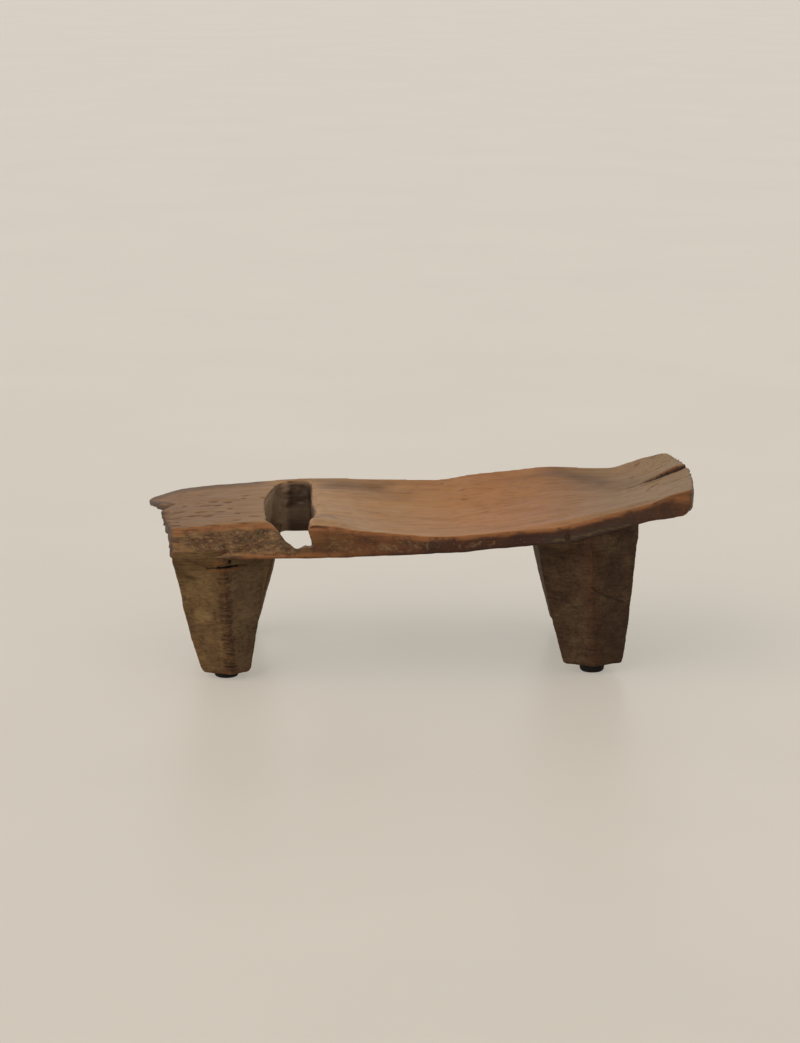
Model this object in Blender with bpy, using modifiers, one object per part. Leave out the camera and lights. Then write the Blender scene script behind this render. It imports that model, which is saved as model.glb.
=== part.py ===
"""Low carved wooden stool: a dished seat with a hand slot, on four tapered legs with rubber feet.

Metres, +Z up. +X runs along the seat to its raised end, -Y is the front, and the floor is Z = 0.
The origin is on the floor under the middle of the seat.
"""
from collections import namedtuple
from math import pi

import bmesh
import bpy
from mathutils import Matrix, Vector

# Overall sizes
LENGTH = 0.624
WIDTH = 0.280

# Room left between two pieces that touch
JOINT_GAP = 0.0003

# Hand slot across the seat, and the notch that opens it to the front
SLOT_FROM_LEFT = 0.135
SLOT_WIDTH = 0.057
SLOT_FRONT_RIM = 0.022
SLOT_REAR_RIM = 0.014
SLOT_TAPER = 0.030
SLOT_CORNER = 0.004
SLOT_BEND_FROM_REAR = 0.073
SLOT_WIDEST_FROM_FRONT = 0.085
NOTCH_FLOOR = 0.153
NOTCH_FLOOR_LENGTH = 0.022
NOTCH_SLOPE = 0.026
NOTCH_LEAN = 0.004

# Places along the seat where its section is set, each counted from the nearer end
BLOCK_FROM_LEFT = 0.045
SADDLE_FROM_RIGHT = 0.290
RISE_FROM_RIGHT = 0.244
HAUNCH_FROM_RIGHT = 0.150
DIP_FROM_RIGHT = 0.086

# The seat's section at the left end, block, both sides of the slot, saddle, rise, haunch, dip and right end
FRONT_RIM = (0.168, 0.173, 0.178, 0.177, 0.1655, 0.1684, 0.182, 0.199, 0.219)
REAR_RIM = (0.152, 0.165, 0.172, 0.175, 0.1722, 0.1788, 0.1872, 0.1845, 0.226)
HOLLOW = (0.000, 0.000, 0.000, 0.008, 0.012, 0.0115, 0.010, 0.010, 0.009)
FRONT_THICK = (0.026, 0.031, 0.036, 0.035, 0.019, 0.0203, 0.024, 0.0225, 0.029)
REAR_THICK = (0.008, 0.028, 0.055, 0.055, 0.024, 0.0243, 0.025, 0.023, 0.028)
BELLY = (0.004, 0.006, 0.008, 0.012, 0.015, 0.0142, 0.010, 0.006, 0.003)

# The seat's outline in plan, and how far its front face leans back beside the slot
LEFT_SKEW = 0.033
LEFT_SWEEP = 0.6
RIGHT_CREST = 0.48
FRONT_BOW = 0.020
REAR_BOW = 0.036
BLOCK_LEAN = 0.022
SEAT_EDGE_ROUND = 0.004
SEAT_CORNER_ROUND = 0.010
SEAT_COLUMNS = 36
SEAT_ROWS = 10

# Drying crack in the raised end
CRACK_FROM_MIDDLE = 0.016
CRACK_LENGTH = 0.052
CRACK_WIDTH = 0.0045

# Legs: the left pair and the right pair differ, and the rear left one is broader on its inner side
LEFT_LEG_FROM_END = 0.085
LEFT_SHOULDER = 0.131
LEFT_TOP_LENGTH = 0.102
LEFT_FOOT_LENGTH = 0.054
LEFT_FOOT_INSET = 0.011
LEFT_RAKE = 0.0075
LEFT_RIDGE_SHIFT = 0.0055
REAR_LEFT_TOP_EXTRA = 0.020
REAR_LEFT_FOOT_EXTRA = 0.006
RIGHT_LEG_FROM_END = 0.130
RIGHT_SHOULDER = 0.152
RIGHT_TOP_LENGTH = 0.114
RIGHT_FOOT_LENGTH = 0.066
RIGHT_FOOT_INSET = 0.020
RIGHT_RAKE = 0.008
RIGHT_RIDGE_SHIFT = 0.0
LEG_TOP_DEPTH = 0.096
LEG_FOOT_DEPTH = 0.054
LEG_TOP_INSET = 0.006
RIDGE_TOP = 0.028
RIDGE_FOOT = 0.015
LEG_BACK_INSET = 0.005
LEG_SWELL = 0.002
LEG_EDGE_ROUND = 0.004
LEG_RINGS = 5
HOUSING_DEPTH = 0.030

# Stub tenons and the iron pins that hold them
TENON_LENGTH = 0.070
TENON_WIDTH = 0.030
LEFT_TENON = 0.016
RIGHT_TENON = 0.014
PIN_RADIUS = 0.002
PIN_LENGTH = 0.078
PIN_RECESS = 0.003
LEFT_PIN_RISE = 0.0055
LEFT_PIN_SHIFT = 0.014
RIGHT_PIN_RISE = 0.008
RIGHT_PIN_SHIFT = -0.028

# Rubber feet, their washers and screws
LEFT_FOOT_HEIGHT = 0.007
RIGHT_FOOT_HEIGHT = 0.011
FOOT_RADIUS = 0.014
FOOT_SOLE_RADIUS = 0.0112
FOOT_ROLL = 0.0050
FOOT_POCKET_RADIUS = 0.0068
FOOT_POCKET_DEPTH = 0.0050
WASHER_RADIUS = 0.0060
WASHER_THICK = 0.0010
SCREW_RADIUS = 0.0020
SCREW_BITE = 0.022
SCREW_POINT = 0.006
HEAD_RADIUS = 0.0042
HEAD_HEIGHT = 0.0026
HEAD_SIDE = 0.0013
HEAD_FLAT_RADIUS = 0.0025
RECESS_LENGTH = 0.0048
RECESS_WIDTH = 0.0012
RECESS_TIP_WIDTH = 0.0008
RECESS_DEPTH = 0.0014
TURNED_STEPS = 24
SCREW_STEPS = 16

LEFT_END = -LENGTH / 2
RIGHT_END = LENGTH / 2
SLOT_LEFT = LEFT_END + SLOT_FROM_LEFT
SLOT_RIGHT = SLOT_LEFT + SLOT_WIDTH
STATIONS = (
    LEFT_END,
    LEFT_END + BLOCK_FROM_LEFT,
    SLOT_LEFT,
    SLOT_RIGHT,
    RIGHT_END - SADDLE_FROM_RIGHT,
    RIGHT_END - RISE_FROM_RIGHT,
    RIGHT_END - HAUNCH_FROM_RIGHT,
    RIGHT_END - DIP_FROM_RIGHT,
    RIGHT_END,
)

Leg = namedtuple("Leg", "name sign top_x foot_x ridge_shift top_length foot_length foot_inset lift "
                        "shoulder tenon pin_rise pin_shift")


def mix(start, end, share):
    return start + (end - start) * share


def smooth_through(heights, x):
    """The value at x on a smooth curve through the stations, with no overshoot between them."""
    if x <= STATIONS[0]:
        return heights[0]
    if x >= STATIONS[-1]:
        return heights[-1]
    spans = [b - a for a, b in zip(STATIONS, STATIONS[1:])]
    slopes = [(b - a) / span for a, b, span in zip(heights, heights[1:], spans)]
    tangents = [slopes[0]]
    for before, after in zip(slopes, slopes[1:]):
        same_way = before * after > 0
        tangents.append(2 * before * after / (before + after) if same_way else 0.0)
    tangents.append(slopes[-1])
    index = max(i for i, station in enumerate(STATIONS) if station <= x)
    span = spans[index]
    t = (x - STATIONS[index]) / span
    ease = t * t * (3 - 2 * t)
    leave = tangents[index] * span * t * (1 - t) ** 2
    arrive = tangents[index + 1] * span * t * t * (1 - t)
    return mix(heights[index], heights[index + 1], ease) + leave - arrive


def arch(across):
    """Zero at both long edges of the seat and one along its middle."""
    return 4 * across * (1 - across)


def seat_top(x, across):
    rim = mix(smooth_through(FRONT_RIM, x), smooth_through(REAR_RIM, x), across)
    return rim - smooth_through(HOLLOW, x) * arch(across)


def seat_under(x, across):
    front = smooth_through(FRONT_RIM, x) - smooth_through(FRONT_THICK, x)
    rear = smooth_through(REAR_RIM, x) - smooth_through(REAR_THICK, x)
    return mix(front, rear, across) - smooth_through(BELLY, x) * arch(across)


def seat_left(across):
    return LEFT_END + LEFT_SKEW * (1 - across) ** LEFT_SWEEP


def seat_right(across):
    if across < RIGHT_CREST:
        return RIGHT_END - FRONT_BOW * ((RIGHT_CREST - across) / RIGHT_CREST) ** 2
    return RIGHT_END - REAR_BOW * ((across - RIGHT_CREST) / (1 - RIGHT_CREST)) ** 2


def front_lean(x):
    """How far the top front edge sits behind the bottom one: only left of the slot."""
    t = min(max((SLOT_RIGHT - x) / SLOT_WIDTH, 0.0), 1.0)
    return BLOCK_LEAN * t * t * (3 - 2 * t)


def across_at(y):
    return min(max(y / WIDTH + 0.5, 0.0), 1.0)


def clear_scene():
    for old in list(bpy.data.objects):
        bpy.data.objects.remove(old)


def new_collection(name):
    collection = bpy.data.collections.new(name)
    bpy.context.scene.collection.children.link(collection)
    return collection


def new_material(name, colour, roughness, metallic):
    material = bpy.data.materials.new(name)
    material.use_nodes = True
    shader = material.node_tree.nodes["Principled BSDF"]
    shader.inputs["Base Color"].default_value = (*colour, 1.0)
    shader.inputs["Roughness"].default_value = roughness
    shader.inputs["Metallic"].default_value = metallic
    return material


def mesh_from(bm, name):
    mesh = bpy.data.meshes.new(name)
    bm.to_mesh(mesh)
    bm.free()
    return mesh


def add_part(name, mesh, material, location=(0, 0, 0)):
    part = bpy.data.objects.new(name, mesh)
    part.location = location
    mesh.materials.append(material)
    PARTS.objects.link(part)
    return part


def add_cutter(name, mesh):
    cutter = bpy.data.objects.new(name, mesh)
    cutter.hide_render = True
    cutter.display_type = "WIRE"
    CUTTERS.objects.link(cutter)
    return cutter


def boolean(part, tool, operation):
    modifier = part.modifiers.new(tool.name, "BOOLEAN")
    modifier.operation = operation
    modifier.object = tool
    modifier.solver = "EXACT"


def weighted_bevel(part, width):
    bevel = part.modifiers.new("rounded edges", "BEVEL")
    bevel.limit_method = "WEIGHT"
    bevel.width = width
    bevel.segments = 2


def smooth_shading(mesh, angle=pi / 6):
    mesh.shade_smooth()
    mesh.set_sharp_from_angle(angle=angle)


def add_box(bm, size, centre):
    place = Matrix.Translation(centre) @ Matrix.Diagonal((*size, 1.0))
    bmesh.ops.create_cube(bm, size=1.0, matrix=place)


def add_loft(bm, rings):
    """Closed solid through rings of matching corners, flat at both ends."""
    loops = [[bm.verts.new(corner) for corner in ring] for ring in rings]
    faces = [bm.faces.new(loops[0]), bm.faces.new(loops[-1])]
    for low, high in zip(loops, loops[1:]):
        for i, corner in enumerate(low):
            j = (i + 1) % len(low)
            faces.append(bm.faces.new((corner, low[j], high[j], high[i])))
    bmesh.ops.recalc_face_normals(bm, faces=faces)
    return loops


def outline_cutter(name, points, thickness, place, smooth=False):
    """Flat outline extruded both ways from its plane, made a mesh so that it can cut."""
    curve = bpy.data.curves.new(name, "CURVE")
    curve.dimensions = "2D"
    curve.fill_mode = "BOTH"
    curve.extrude = thickness / 2
    curve.resolution_u = 5 if smooth else 1
    spline = curve.splines.new("BEZIER")
    spline.bezier_points.add(len(points) - 1)
    spline.use_cyclic_u = True
    handle = "AUTO" if smooth else "VECTOR"
    for knot, (u, v) in zip(spline.bezier_points, points):
        knot.co = (u, v, 0.0)
        knot.handle_left_type = handle
        knot.handle_right_type = handle
    drawn = bpy.data.objects.new(name + "_outline", curve)
    drawn.matrix_world = place
    CUTTERS.objects.link(drawn)
    bpy.context.view_layer.update()
    evaluated = drawn.evaluated_get(bpy.context.evaluated_depsgraph_get())
    mesh = bpy.data.meshes.new_from_object(evaluated)
    bm = bmesh.new()
    bm.from_mesh(mesh)
    bmesh.ops.remove_doubles(bm, verts=bm.verts, dist=0.00001)
    bmesh.ops.recalc_face_normals(bm, faces=bm.faces)
    bm.to_mesh(mesh)
    bm.free()
    cutter = add_cutter(name, mesh)
    cutter.matrix_world = drawn.matrix_world
    bpy.data.objects.remove(drawn)
    return cutter


def turned(name, profile, steps, closed, material, location):
    """Profile of (radius, height) points, run down its outer side, spun about Z."""
    bm = bmesh.new()
    points = [bm.verts.new((radius, 0.0, height)) for radius, height in profile]
    for start, end in zip(points, points[1:]):
        bm.edges.new((start, end))
    if closed:
        bm.edges.new((points[-1], points[0]))
    mesh = mesh_from(bm, name)
    part = add_part(name, mesh, material, location)
    spin = part.modifiers.new("turned", "SCREW")
    spin.steps = steps
    spin.render_steps = steps
    spin.use_merge_vertices = True
    spin.merge_threshold = 0.00001
    spin.use_smooth_shade = True
    return part


def leg_section(leg, z, grow=0.0):
    """Five corners of a leg at height z: the outer ridge, two sides and two back corners."""
    share = min((z - leg.lift) / (leg.shoulder - leg.lift), 1.0)
    swell = grow + LEG_SWELL * arch(share)
    middle = mix(leg.foot_x, leg.top_x, share)
    half = mix(leg.foot_length, leg.top_length, share) / 2 + swell
    ridge = WIDTH / 2 - mix(leg.foot_inset, LEG_TOP_INSET, share) + swell
    side = ridge - mix(RIDGE_FOOT, RIDGE_TOP, share * (2 - share))
    back = ridge - mix(LEG_FOOT_DEPTH, LEG_TOP_DEPTH, share) - 2 * swell
    half_back = half - LEG_BACK_INSET
    plan = ((leg.ridge_shift, ridge), (half, side), (half_back, back), (-half_back, back), (-half, side))
    return [Vector((middle + x, leg.sign * y, z)) for x, y in plan]


def foot_centre(leg):
    reach = WIDTH / 2 - leg.foot_inset - LEG_FOOT_DEPTH / 2
    return Vector((leg.foot_x, leg.sign * reach, 0.0))


def tenon_centre(leg):
    reach = WIDTH / 2 - LEG_TOP_INSET - LEG_TOP_DEPTH / 2
    return Vector((leg.top_x, leg.sign * reach, leg.shoulder))


def pin_mouth(leg):
    """Where the pin's outer end lies, sunk a little behind the face it enters."""
    x = leg.top_x + leg.pin_shift
    z = leg.shoulder + leg.pin_rise
    across = 0.0 if leg.sign < 0 else 1.0
    ridge, right, _, _, left = leg_section(leg, z)
    side = right if x > ridge.x else left
    face = abs(mix(ridge.y, side.y, (x - ridge.x) / (side.x - ridge.x)))
    if seat_under(x, across) + SEAT_EDGE_ROUND / 2 < z:
        face = WIDTH / 2
    return Vector((x, leg.sign * (face - PIN_RECESS), z))


def make_seat(material):
    bm = bmesh.new()
    bmesh.ops.create_grid(bm, x_segments=SEAT_COLUMNS, y_segments=SEAT_ROWS, size=0.5)
    under = bm.faces[:]
    grown = bmesh.ops.extrude_face_region(bm, geom=under)["geom"]
    upper = {item for item in grown if isinstance(item, bmesh.types.BMVert)}
    bmesh.ops.reverse_faces(bm, faces=under)
    weight = bm.edges.layers.float.new("bevel_weight_edge")
    for edge in bm.edges:
        flat_ends = [abs(abs(end.co.x) - 0.5) < 1e-6 for end in edge.verts]
        side_ends = [abs(abs(end.co.y) - 0.5) < 1e-6 for end in edge.verts]
        standing = (edge.verts[0] in upper) != (edge.verts[1] in upper)
        sharp_tip = edge.verts[0].co.x < 0 and edge.verts[0].co.y > 0
        if standing and all(flat_ends) and all(side_ends) and not sharp_tip:
            edge[weight] = 1.0
        elif not standing and (all(flat_ends) or all(side_ends)):
            edge[weight] = SEAT_EDGE_ROUND / SEAT_CORNER_ROUND
    for vert in bm.verts:
        along = vert.co.x + 0.5
        across = vert.co.y + 0.5
        x = mix(seat_left(across), seat_right(across), along)
        y = mix(-WIDTH / 2, WIDTH / 2, across)
        if vert in upper:
            y = mix(-WIDTH / 2 + front_lean(x), WIDTH / 2, across)
            vert.co = (x, y, seat_top(x, across))
        else:
            vert.co = (x, y, seat_under(x, across))
    bmesh.ops.recalc_face_normals(bm, faces=bm.faces)
    mesh = mesh_from(bm, "seat")
    smooth_shading(mesh)
    seat = add_part("seat", mesh, material)
    weighted_bevel(seat, SEAT_CORNER_ROUND)
    return seat


def bosses_tool():
    """The thickened stubs under the seat that carry on the line of each leg."""
    bm = bmesh.new()
    for leg in LEGS:
        below = Vector((0, 0, HOUSING_DEPTH / 2))
        bottom = [corner - below for corner in leg_section(leg, leg.shoulder)]
        top = []
        for corner in leg_section(leg, leg.shoulder):
            inside = seat_under(corner.x, across_at(corner.y)) + 1.5 * SEAT_EDGE_ROUND
            top.append(Vector((corner.x, corner.y, inside)))
        add_loft(bm, [bottom, top])
    return add_cutter("leg_bosses", mesh_from(bm, "leg_bosses"))


def housings_tool():
    """Room for each leg up to its shoulder, so that the shoulder meets a flat face."""
    bm = bmesh.new()
    for leg in LEGS:
        high = leg_section(leg, leg.shoulder, JOINT_GAP)
        low = [corner - Vector((0, 0, HOUSING_DEPTH)) for corner in high]
        add_loft(bm, [low, high])
    return add_cutter("leg_housings", mesh_from(bm, "leg_housings"))


def mortises_tool():
    bm = bmesh.new()
    for leg in LEGS:
        height = leg.tenon + JOINT_GAP + HOUSING_DEPTH / 2
        middle = tenon_centre(leg) + Vector((0, 0, leg.tenon + JOINT_GAP - height / 2))
        size = (TENON_LENGTH + 2 * JOINT_GAP, TENON_WIDTH + 2 * JOINT_GAP, height)
        add_box(bm, size, middle)
    return add_cutter("mortises", mesh_from(bm, "mortises"))


def pin_holes_tool():
    """Round holes from outside the stool to just past each pin's inner end."""
    bm = bmesh.new()
    for leg in LEGS:
        mouth = pin_mouth(leg)
        outer = leg.sign * (abs(mouth.y) + 2 * PIN_RECESS)
        inner = leg.sign * (abs(mouth.y) - PIN_LENGTH - JOINT_GAP)
        middle = Vector((mouth.x, (outer + inner) / 2, mouth.z))
        place = Matrix.Translation(middle) @ Matrix.Rotation(pi / 2, 4, "X")
        bmesh.ops.create_cone(bm, cap_ends=True, segments=SCREW_STEPS, radius1=PIN_RADIUS + JOINT_GAP,
                              radius2=PIN_RADIUS + JOINT_GAP, depth=abs(outer - inner), matrix=place)
    return add_cutter("pin_holes", mesh_from(bm, "pin_holes"))


def pilot_holes_tool():
    """Holes for the foot screws, from the floor up to just past each screw's tip."""
    bm = bmesh.new()
    for leg in LEGS:
        height = leg.lift + SCREW_BITE + JOINT_GAP
        middle = foot_centre(leg) + Vector((0, 0, height / 2))
        bmesh.ops.create_cone(bm, cap_ends=True, segments=SCREW_STEPS, radius1=SCREW_RADIUS + JOINT_GAP,
                              radius2=SCREW_RADIUS + JOINT_GAP, depth=height,
                              matrix=Matrix.Translation(middle))
    return add_cutter("pilot_holes", mesh_from(bm, "pilot_holes"))


def slot_tool():
    front = -WIDTH / 2 + SLOT_FRONT_RIM
    rear = WIDTH / 2 - SLOT_REAR_RIM
    bend = rear - SLOT_BEND_FROM_REAR
    widest = front + SLOT_WIDEST_FROM_FRONT
    outline = (
        (SLOT_LEFT + SLOT_CORNER, front),
        (SLOT_LEFT, widest),
        (SLOT_LEFT + SLOT_TAPER / 3, bend),
        (SLOT_LEFT + SLOT_TAPER, rear - SLOT_CORNER),
        (SLOT_RIGHT - SLOT_CORNER, rear - SLOT_CORNER),
        (SLOT_RIGHT, bend),
        (SLOT_RIGHT, widest),
        (SLOT_RIGHT - SLOT_CORNER, front),
    )
    height = max(FRONT_RIM)
    place = Matrix.Translation((0, 0, height / 2 + NOTCH_FLOOR / 2))
    return outline_cutter("hand_slot", outline, height, place, smooth=True)


def notch_tool():
    """Broken front rim over the slot: steep on the right, a slope on the left."""
    high = max(FRONT_RIM)
    right = SLOT_RIGHT - NOTCH_LEAN
    left = right - NOTCH_FLOOR_LENGTH
    outline = (
        (left - NOTCH_SLOPE * (high - NOTCH_FLOOR) / FRONT_THICK[1], high),
        (left, NOTCH_FLOOR),
        (right, NOTCH_FLOOR),
        (right - NOTCH_LEAN, high),
    )
    reach = 2 * SLOT_FRONT_RIM + BLOCK_LEAN
    place = Matrix.Translation((0, -WIDTH / 2, 0)) @ Matrix.Rotation(pi / 2, 4, "X")
    return outline_cutter("front_notch", outline, reach, place)


def crack_tool():
    outline = (
        (RIGHT_END - CRACK_LENGTH, CRACK_FROM_MIDDLE - CRACK_WIDTH / 2),
        (RIGHT_END + CRACK_WIDTH, CRACK_FROM_MIDDLE - CRACK_WIDTH / 2),
        (RIGHT_END + CRACK_WIDTH, CRACK_FROM_MIDDLE + CRACK_WIDTH / 2),
    )
    place = Matrix.Translation((0, 0, max(FRONT_RIM)))
    return outline_cutter("end_crack", outline, max(FRONT_RIM), place)


def make_leg(leg, material, pin_holes, pilot_holes):
    foot = foot_centre(leg) + Vector((0, 0, leg.lift))
    heights = [mix(leg.lift, leg.shoulder - JOINT_GAP, i / (LEG_RINGS - 1)) for i in range(LEG_RINGS)]
    bm = bmesh.new()
    loops = add_loft(bm, [[corner - foot for corner in leg_section(leg, z)] for z in heights])
    weight = bm.edges.layers.float.new("bevel_weight_edge")
    ring_of = {corner: index for index, loop in enumerate(loops) for corner in loop}
    for edge in bm.edges:
        start, end = (ring_of[corner] for corner in edge.verts)
        runs_up = start != end
        at_foot = start == end == 0
        edge[weight] = 1.0 if runs_up or at_foot else 0.0
    mesh = mesh_from(bm, leg.name)
    smooth_shading(mesh)
    part = add_part(leg.name, mesh, material, foot)
    weighted_bevel(part, LEG_EDGE_ROUND)

    bm = bmesh.new()
    add_box(bm, (TENON_LENGTH, TENON_WIDTH, 2 * leg.tenon), tenon_centre(leg))
    tenon = add_cutter(leg.name + "_tenon", mesh_from(bm, leg.name + "_tenon"))
    boolean(part, tenon, "UNION")
    boolean(part, pin_holes, "DIFFERENCE")
    boolean(part, pilot_holes, "DIFFERENCE")


def make_pin(leg, material):
    bm = bmesh.new()
    bmesh.ops.create_cone(bm, cap_ends=True, segments=SCREW_STEPS, radius1=PIN_RADIUS, radius2=PIN_RADIUS,
                          depth=PIN_LENGTH)
    mesh = mesh_from(bm, leg.name.replace("leg", "leg_pin"))
    smooth_shading(mesh)
    mouth = pin_mouth(leg)
    middle = Vector((mouth.x, mouth.y - leg.sign * PIN_LENGTH / 2, mouth.z))
    pin = add_part(mesh.name, mesh, material, middle)
    pin.rotation_euler = (pi / 2, 0, 0)


def make_foot(leg, rubber, washer_steel, screw_steel):
    place = foot_centre(leg)
    top = leg.lift - JOINT_GAP
    bore = SCREW_RADIUS + JOINT_GAP
    turned(leg.name.replace("leg", "rubber_foot"), (
        (FOOT_RADIUS, top),
        (FOOT_RADIUS, FOOT_ROLL),
        (mix(FOOT_SOLE_RADIUS, FOOT_RADIUS, 0.8), FOOT_ROLL * 0.45),
        (mix(FOOT_SOLE_RADIUS, FOOT_RADIUS, 0.4), FOOT_ROLL * 0.12),
        (FOOT_SOLE_RADIUS, 0.0),
        (FOOT_POCKET_RADIUS, 0.0),
        (FOOT_POCKET_RADIUS, FOOT_POCKET_DEPTH),
        (bore, FOOT_POCKET_DEPTH),
        (bore, top),
    ), TURNED_STEPS, True, rubber, place)

    washer_top = FOOT_POCKET_DEPTH - JOINT_GAP
    washer_base = washer_top - WASHER_THICK
    turned(leg.name.replace("leg", "foot_washer"), (
        (WASHER_RADIUS, washer_top),
        (WASHER_RADIUS, washer_base),
        (bore, washer_base),
        (bore, washer_top),
    ), TURNED_STEPS, True, washer_steel, place)

    head_top = washer_base - JOINT_GAP
    tip = leg.lift + SCREW_BITE
    screw = turned(leg.name.replace("leg", "foot_screw"), (
        (0.0, tip),
        (SCREW_RADIUS, tip - SCREW_POINT),
        (SCREW_RADIUS, head_top),
        (HEAD_RADIUS, head_top),
        (HEAD_RADIUS, head_top - HEAD_SIDE),
        (mix(HEAD_FLAT_RADIUS, HEAD_RADIUS, 0.5), head_top - mix(HEAD_SIDE, HEAD_HEIGHT, 0.8)),
        (HEAD_FLAT_RADIUS, head_top - HEAD_HEIGHT),
        (0.0, head_top - HEAD_HEIGHT),
    ), SCREW_STEPS, False, screw_steel, place)
    boolean(screw, recess_tool(leg, head_top - HEAD_HEIGHT), "DIFFERENCE")


def recess_tool(leg, head_base):
    """Cross-shaped driver recess in the screw's head."""
    reach = RECESS_LENGTH / 2
    root = RECESS_WIDTH / 2
    tip = RECESS_TIP_WIDTH / 2
    cross = (
        (root, root), (tip, reach), (-tip, reach), (-root, root), (-reach, tip), (-reach, -tip),
        (-root, -root), (-tip, -reach), (tip, -reach), (root, -root), (reach, -tip), (reach, tip),
    )
    place = Matrix.Translation(foot_centre(leg) + Vector((0, 0, head_base)))
    return outline_cutter(leg.name + "_recess", cross, 2 * RECESS_DEPTH, place)


def left_leg(name, sign, top_extra, foot_extra):
    top_x = LEFT_END + LEFT_LEG_FROM_END
    return Leg(name, sign, top_x + top_extra / 2, top_x + LEFT_RAKE + foot_extra / 2, LEFT_RIDGE_SHIFT,
               LEFT_TOP_LENGTH + top_extra, LEFT_FOOT_LENGTH + foot_extra, LEFT_FOOT_INSET, LEFT_FOOT_HEIGHT,
               LEFT_SHOULDER, LEFT_TENON, LEFT_PIN_RISE, LEFT_PIN_SHIFT)


def right_leg(name, sign):
    top_x = RIGHT_END - RIGHT_LEG_FROM_END
    return Leg(name, sign, top_x, top_x + RIGHT_RAKE, RIGHT_RIDGE_SHIFT, RIGHT_TOP_LENGTH, RIGHT_FOOT_LENGTH,
               RIGHT_FOOT_INSET, RIGHT_FOOT_HEIGHT, RIGHT_SHOULDER, RIGHT_TENON, RIGHT_PIN_RISE,
               RIGHT_PIN_SHIFT)


clear_scene()
PARTS = new_collection("carved_wooden_stool")
CUTTERS = new_collection("cutters")
LEGS = [
    left_leg("leg_front_left", -1, 0.0, 0.0),
    left_leg("leg_rear_left", 1, REAR_LEFT_TOP_EXTRA, REAR_LEFT_FOOT_EXTRA),
    right_leg("leg_front_right", -1),
    right_leg("leg_rear_right", 1),
]

seat_wood = new_material("seat_wood", (0.27, 0.14, 0.065), 0.55, 0.0)
leg_wood = new_material("leg_wood", (0.085, 0.05, 0.028), 0.6, 0.0)
iron = new_material("pin_iron", (0.03, 0.026, 0.024), 0.7, 0.8)
black_rubber = new_material("foot_rubber", (0.012, 0.012, 0.012), 0.75, 0.0)
zinc = new_material("washer_steel", (0.55, 0.55, 0.55), 0.35, 1.0)
screw_zinc = new_material("screw_steel", (0.5, 0.5, 0.5), 0.3, 1.0)

holes_for_pins = pin_holes_tool()
holes_for_screws = pilot_holes_tool()
the_seat = make_seat(seat_wood)
boolean(the_seat, bosses_tool(), "UNION")
for cut in (housings_tool(), slot_tool(), notch_tool(), crack_tool(), mortises_tool(), holes_for_pins):
    boolean(the_seat, cut, "DIFFERENCE")
for each_leg in LEGS:
    make_leg(each_leg, leg_wood, holes_for_pins, holes_for_screws)
    make_pin(each_leg, iron)
    make_foot(each_leg, black_rubber, zinc, screw_zinc)
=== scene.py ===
# %% [markdown]
# # A carved wooden stool
#
# This is a low stool carved with an adze from one pale hardwood: a dished seat with a hand slot near its
# left end, on four stout legs that taper to small rubber feet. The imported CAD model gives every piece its
# place and its size. This lesson carves the wood over that frame: broken ends, tool marks, splits and the
# polish that years of sitting leave behind.

# %% Load the frame
from collections import namedtuple
from math import radians

import bmesh
import bpy
import numpy as np
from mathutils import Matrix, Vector, noise


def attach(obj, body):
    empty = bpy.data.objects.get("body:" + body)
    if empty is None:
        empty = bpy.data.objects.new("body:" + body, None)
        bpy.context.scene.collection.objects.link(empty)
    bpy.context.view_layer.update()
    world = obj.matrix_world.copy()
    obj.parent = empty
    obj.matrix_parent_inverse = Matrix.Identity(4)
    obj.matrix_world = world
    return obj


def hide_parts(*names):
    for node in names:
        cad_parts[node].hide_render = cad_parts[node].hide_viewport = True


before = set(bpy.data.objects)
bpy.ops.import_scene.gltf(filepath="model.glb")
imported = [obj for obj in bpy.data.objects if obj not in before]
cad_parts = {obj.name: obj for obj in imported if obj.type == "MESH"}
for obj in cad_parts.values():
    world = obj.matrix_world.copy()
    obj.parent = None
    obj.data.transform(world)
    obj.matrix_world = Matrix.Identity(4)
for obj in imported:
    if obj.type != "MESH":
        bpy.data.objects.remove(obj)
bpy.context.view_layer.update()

# %% [markdown]
# ## Camera
#
# The photograph was taken from about 3.4 m away, a little above the stool and almost square to its long
# side. A long lens keeps the rear legs close to the size of the front ones. The lens was found by lining
# up the CAD model with the picture, so that each carved detail can be placed later.

# %% Camera
bpy.ops.object.camera_add(location=(-0.139, -3.341, 0.875), rotation=(radians(77.8), 0, radians(-2)))
camera = bpy.context.object
camera.name = "photo_camera"
camera.data.lens = 103.5
bpy.context.scene.camera = camera
bpy.context.scene.view_settings.view_transform = "Standard"
print("camera lens", camera.data.lens, "mm")

# %% [markdown]
# ## Colour and node helpers
#
# Colours are written as the hex values a painter would pick, and Blender's shaders want linear light, so
# one function turns the first into the second. Two more fill a node's inputs and add a new node. With these,
# a material reads like a recipe.

# %% Colour and node helpers
def colour(code):
    """A hex colour such as 8A5028 as linear red, green, blue and alpha."""
    shares = [int(code[i:i + 2], 16) / 255 for i in (0, 2, 4)]
    return [s / 12.92 if s <= 0.04045 else ((s + 0.055) / 1.055) ** 2.4 for s in shares] + [1.0]


def fill_inputs(tree, node, inputs):
    """Gives a node's inputs their values, or links them to other nodes' outputs."""
    for place, value in inputs.items():
        if isinstance(value, bpy.types.NodeSocket):
            tree.links.new(value, node.inputs[place])
        else:
            node.inputs[place].default_value = value


def add_node(tree, kind, inputs=None, out=0, ramp=None, **settings):
    """Adds one node and returns one of its outputs. A ramp is a list of places and colours."""
    made = tree.nodes.new("ShaderNode" + kind)
    for name, value in settings.items():
        setattr(made, name, value)
    fill_inputs(tree, made, inputs or {})
    for spot, (place, code) in enumerate(ramp or []):
        stops = made.color_ramp.elements
        stop = stops[spot] if spot < 2 else stops.new(place)
        stop.position = place
        stop.color = colour(code)
    return made.outputs[out]


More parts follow.
